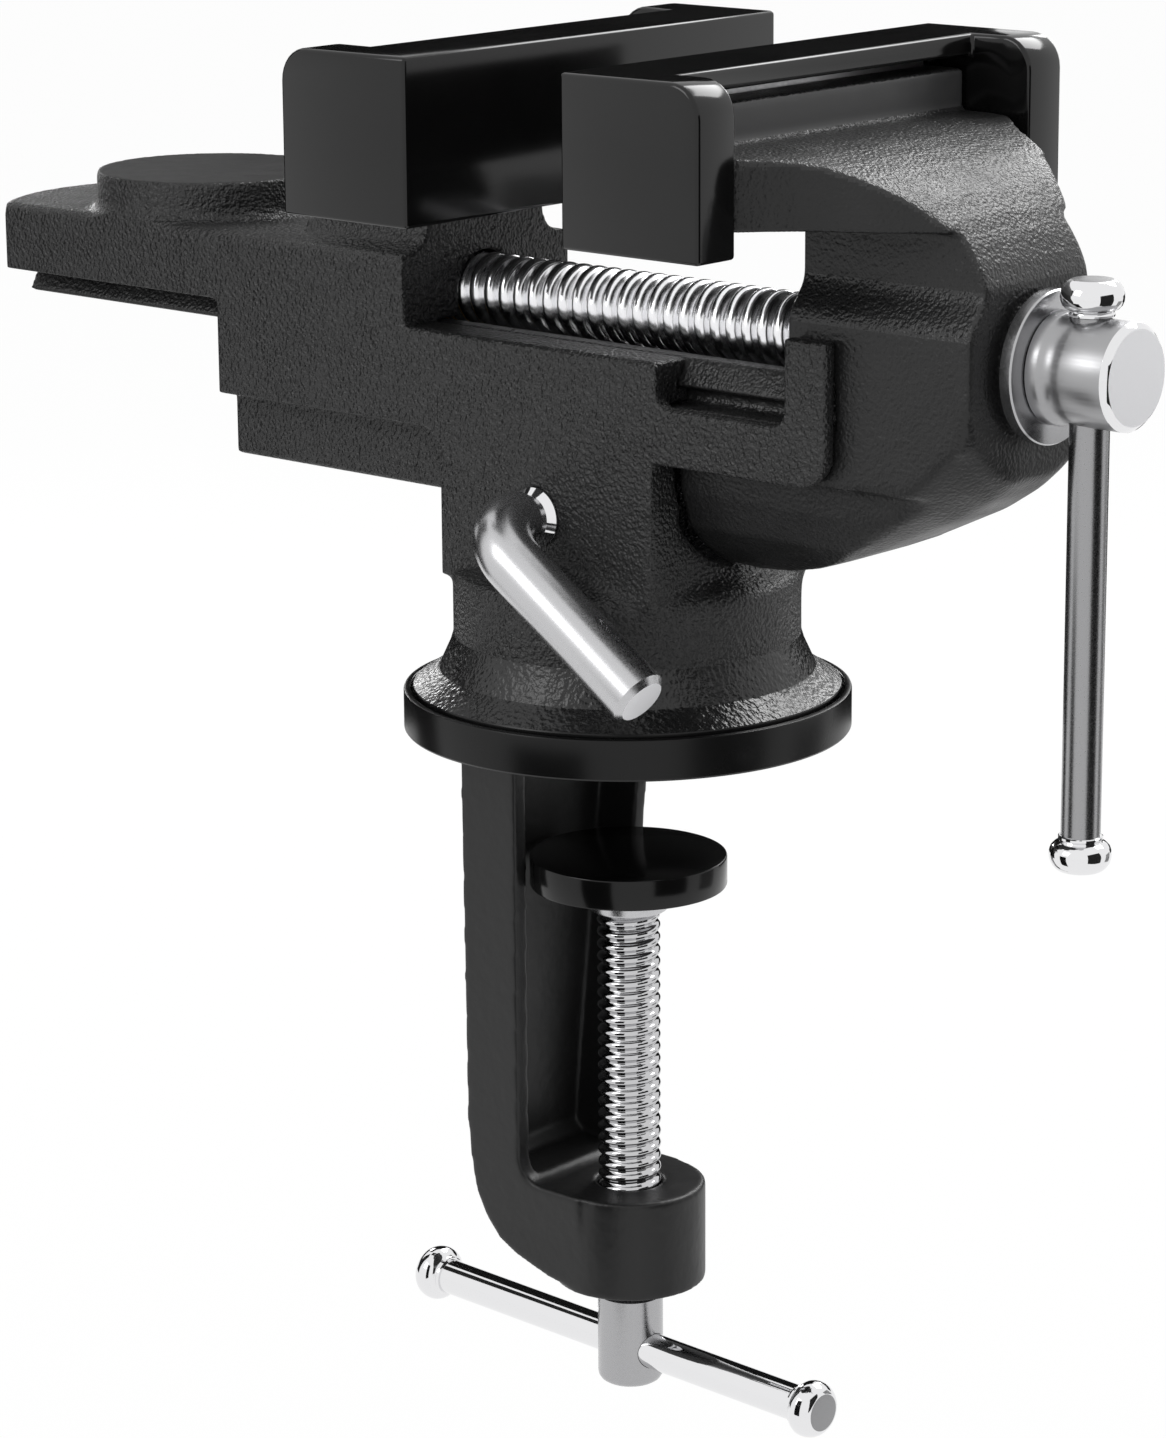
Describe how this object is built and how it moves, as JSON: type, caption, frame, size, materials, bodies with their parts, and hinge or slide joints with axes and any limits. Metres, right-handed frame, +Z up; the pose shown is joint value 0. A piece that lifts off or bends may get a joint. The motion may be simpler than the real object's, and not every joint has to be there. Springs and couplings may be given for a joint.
{
  "type": "clamp-on swivel bench vise",
  "caption": "Small cast vise that clamps to a bench edge, swivels on a round base and grips work between wide covered jaws",
  "frame": {"origin": "the swivel axis at the underside of the round flange, where the vise rests on the bench", "axes": "+X along the main screw towards its handle, -Y the side with the lock lever, +Z up from the bench"},
  "size_m": [0.2185, 0.084, 0.2141],
  "materials": {
    "cast_body": "black coating over a fine cast texture",
    "cast_jaw": "black coating, cast texture on top and smoother below",
    "frame_paint": "glossy black paint",
    "jaw_cover": "smooth glossy black",
    "chrome_steel": "bright chrome plating",
    "screw_steel": "turned bright steel, satin head",
    "plain_steel": "plain machined steel",
    "nut_brass": "machined brass"
  },
  "bodies": {
    "frame": {"clamp_frame": "frame_paint"},
    "pad": {"clamp_pad": "frame_paint", "pad_retaining_ring": "plain_steel"},
    "clamp_screw": {"clamp_screw": "chrome_steel"},
    "tommy_bar": {"tommy_bar": "chrome_steel", "tommy_bar_knobs": "chrome_steel"},
    "body": {"body_casting": "cast_body", "swivel_bolt": "plain_steel", "main_nut": "nut_brass", "nut_keeper_plate": "plain_steel", "nut_keeper_screws": "plain_steel", "lock_pin": "plain_steel", "fixed_jaw_plate": "plain_steel", "fixed_jaw_plate_screws": "plain_steel", "fixed_jaw_cover": "jaw_cover"},
    "lock_lever": {"lock_lever": "chrome_steel"},
    "jaw": {"movable_jaw": "cast_jaw", "movable_jaw_plate": "plain_steel", "movable_jaw_plate_screws": "plain_steel", "movable_jaw_cover": "jaw_cover", "screw_retaining_pin": "plain_steel"},
    "screw": {"main_screw": "screw_steel", "thrust_washer": "chrome_steel"},
    "handle": {"handle_bar": "chrome_steel", "handle_knobs": "chrome_steel"}
  },
  "joints": [
    {"name": "swivel", "type": "hinge", "parent": "frame", "child": "body", "pos_m": [0, 0, 0.0052], "axis": [0, 0, 1], "continuous": true},
    {"name": "jaw_slide", "type": "slide", "parent": "body", "child": "jaw", "axis": [1, 0, 0], "range_m": [-0.0289, 0.0253]},
    {"name": "main_screw_turn", "type": "hinge", "parent": "jaw", "child": "screw", "pos_m": [0.08, 0, 0.0647], "axis": [1, 0, 0], "range_deg": [-3600, 3060]},
    {"name": "handle_slide", "type": "slide", "parent": "screw", "child": "handle", "axis": [0, 0, 1], "range_m": [0, 0.0588]},
    {"name": "clamp_lift", "type": "slide", "parent": "frame", "child": "pad", "axis": [0, 0, 1], "range_m": [-0.0447, 0.0026]},
    {"name": "clamp_screw_turn", "type": "hinge", "parent": "pad", "child": "clamp_screw", "pos_m": [0, 0, -0.06], "axis": [0, 0, 1], "range_deg": [-8100, 500]},
    {"name": "tommy_bar_slide", "type": "slide", "parent": "clamp_screw", "child": "tommy_bar", "axis": [0.9988, -0.0488, 0], "range_m": [-0.0295, 0.0355]},
    {"name": "lock_turn", "type": "hinge", "parent": "body", "child": "lock_lever", "pos_m": [-0.0016, -0.0307, 0.0355], "axis": [0, 1, 0], "range_deg": [-120, 0]}
  ],
  "couplings": [
    {"joint": "main_screw_turn", "follows": "jaw_slide", "rad_per_m": 2094.4},
    {"joint": "clamp_screw_turn", "follows": "clamp_lift", "rad_per_m": 3141.6}
  ]
}
